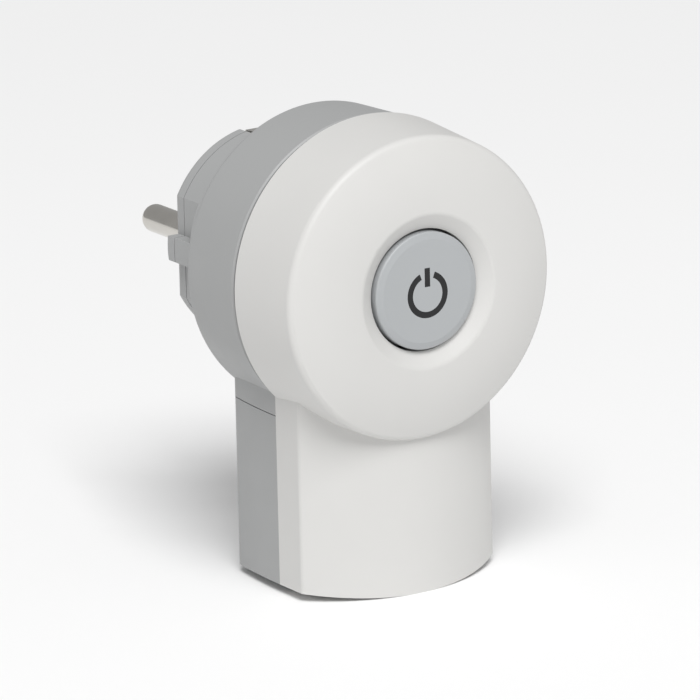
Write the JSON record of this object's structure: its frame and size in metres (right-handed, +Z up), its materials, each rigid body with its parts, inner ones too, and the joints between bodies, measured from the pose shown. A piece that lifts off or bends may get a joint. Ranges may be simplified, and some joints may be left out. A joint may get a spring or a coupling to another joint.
{
  "type": "switched mains plug",
  "caption": "Right-angle rewireable mains plug with two round pins, earth contacts and a latching push button on its round front.",
  "frame": {"origin": "centre of the engaging face, between the two pins", "axes": "+Y out of the engaging face along the pins, +Z up, away from the cable end, +X to the right seen from the button"},
  "size_m": [0.0524, 0.07, 0.0778],
  "materials": {
    "white_plastic": "fine satin moulding",
    "grey_plastic": "fine satin moulding",
    "button_plastic": "fine satin moulding",
    "symbol_print": "dark inlay",
    "black_plastic": "moulded insulating plastic",
    "natural_plastic": "unpigmented low-friction plastic",
    "nickel": "nickel-plated brass",
    "brass": "rolled and turned brass",
    "steel": "zinc-plated steel"
  },
  "bodies": {
    "housing": {"front_cover": "white_plastic", "rear_housing": "grey_plastic", "neck_cover": "grey_plastic", "contact_carrier": "grey_plastic", "live_pin": "nickel", "neutral_pin": "nickel", "earth_socket": "nickel", "earth_strap": "nickel", "earth_link": "brass", "earth_rivet": "brass", "live_pin_contact": "brass", "neutral_pin_contact": "brass", "live_supply_contact": "brass", "neutral_supply_contact": "brass", "live_terminal": "brass", "earth_terminal": "brass", "neutral_terminal": "brass", "terminal_base": "black_plastic", "cable_clamp": "black_plastic", "switch_base": "black_plastic", "switch_lid": "black_plastic", "button_spring": "steel", "case_screws": "steel", "neck_cover_screws": "steel", "terminal_base_screws": "steel", "cable_clamp_screws": "steel", "terminal_screws": "steel", "switch_screws": "steel"},
    "button": {"push_button": "button_plastic", "power_symbol": "symbol_print", "switch_plunger": "natural_plastic", "contact_springs": "steel"},
    "bridges": {"live_bridge": "brass", "neutral_bridge": "brass"},
    "latch": {"latch_arm": "steel"}
  },
  "joints": [
    {"name": "button_press", "type": "slide", "parent": "housing", "child": "button", "axis": [0, 1, 0], "range_m": [0, 0.003], "stiffness_N_per_m": 400, "springref_m": -0.002, "deforming": ["button_spring"]},
    {"name": "bridge_travel", "type": "slide", "parent": "housing", "child": "bridges", "axis": [0, 1, 0], "range_m": [0, 0.0027], "deforming": ["contact_springs"]},
    {"name": "latch_swing", "type": "hinge", "parent": "housing", "child": "latch", "pos_m": [0, -0.0296, 0.003], "axis": [0, 0, 1], "range_deg": [0, 18]}
  ],
  "couplings": [
    {"joint": "bridge_travel", "follows": "button_press", "ratio": 0.9},
    {"joint": "latch_swing", "follows": "button_press", "rad_per_m": 104.72}
  ]
}
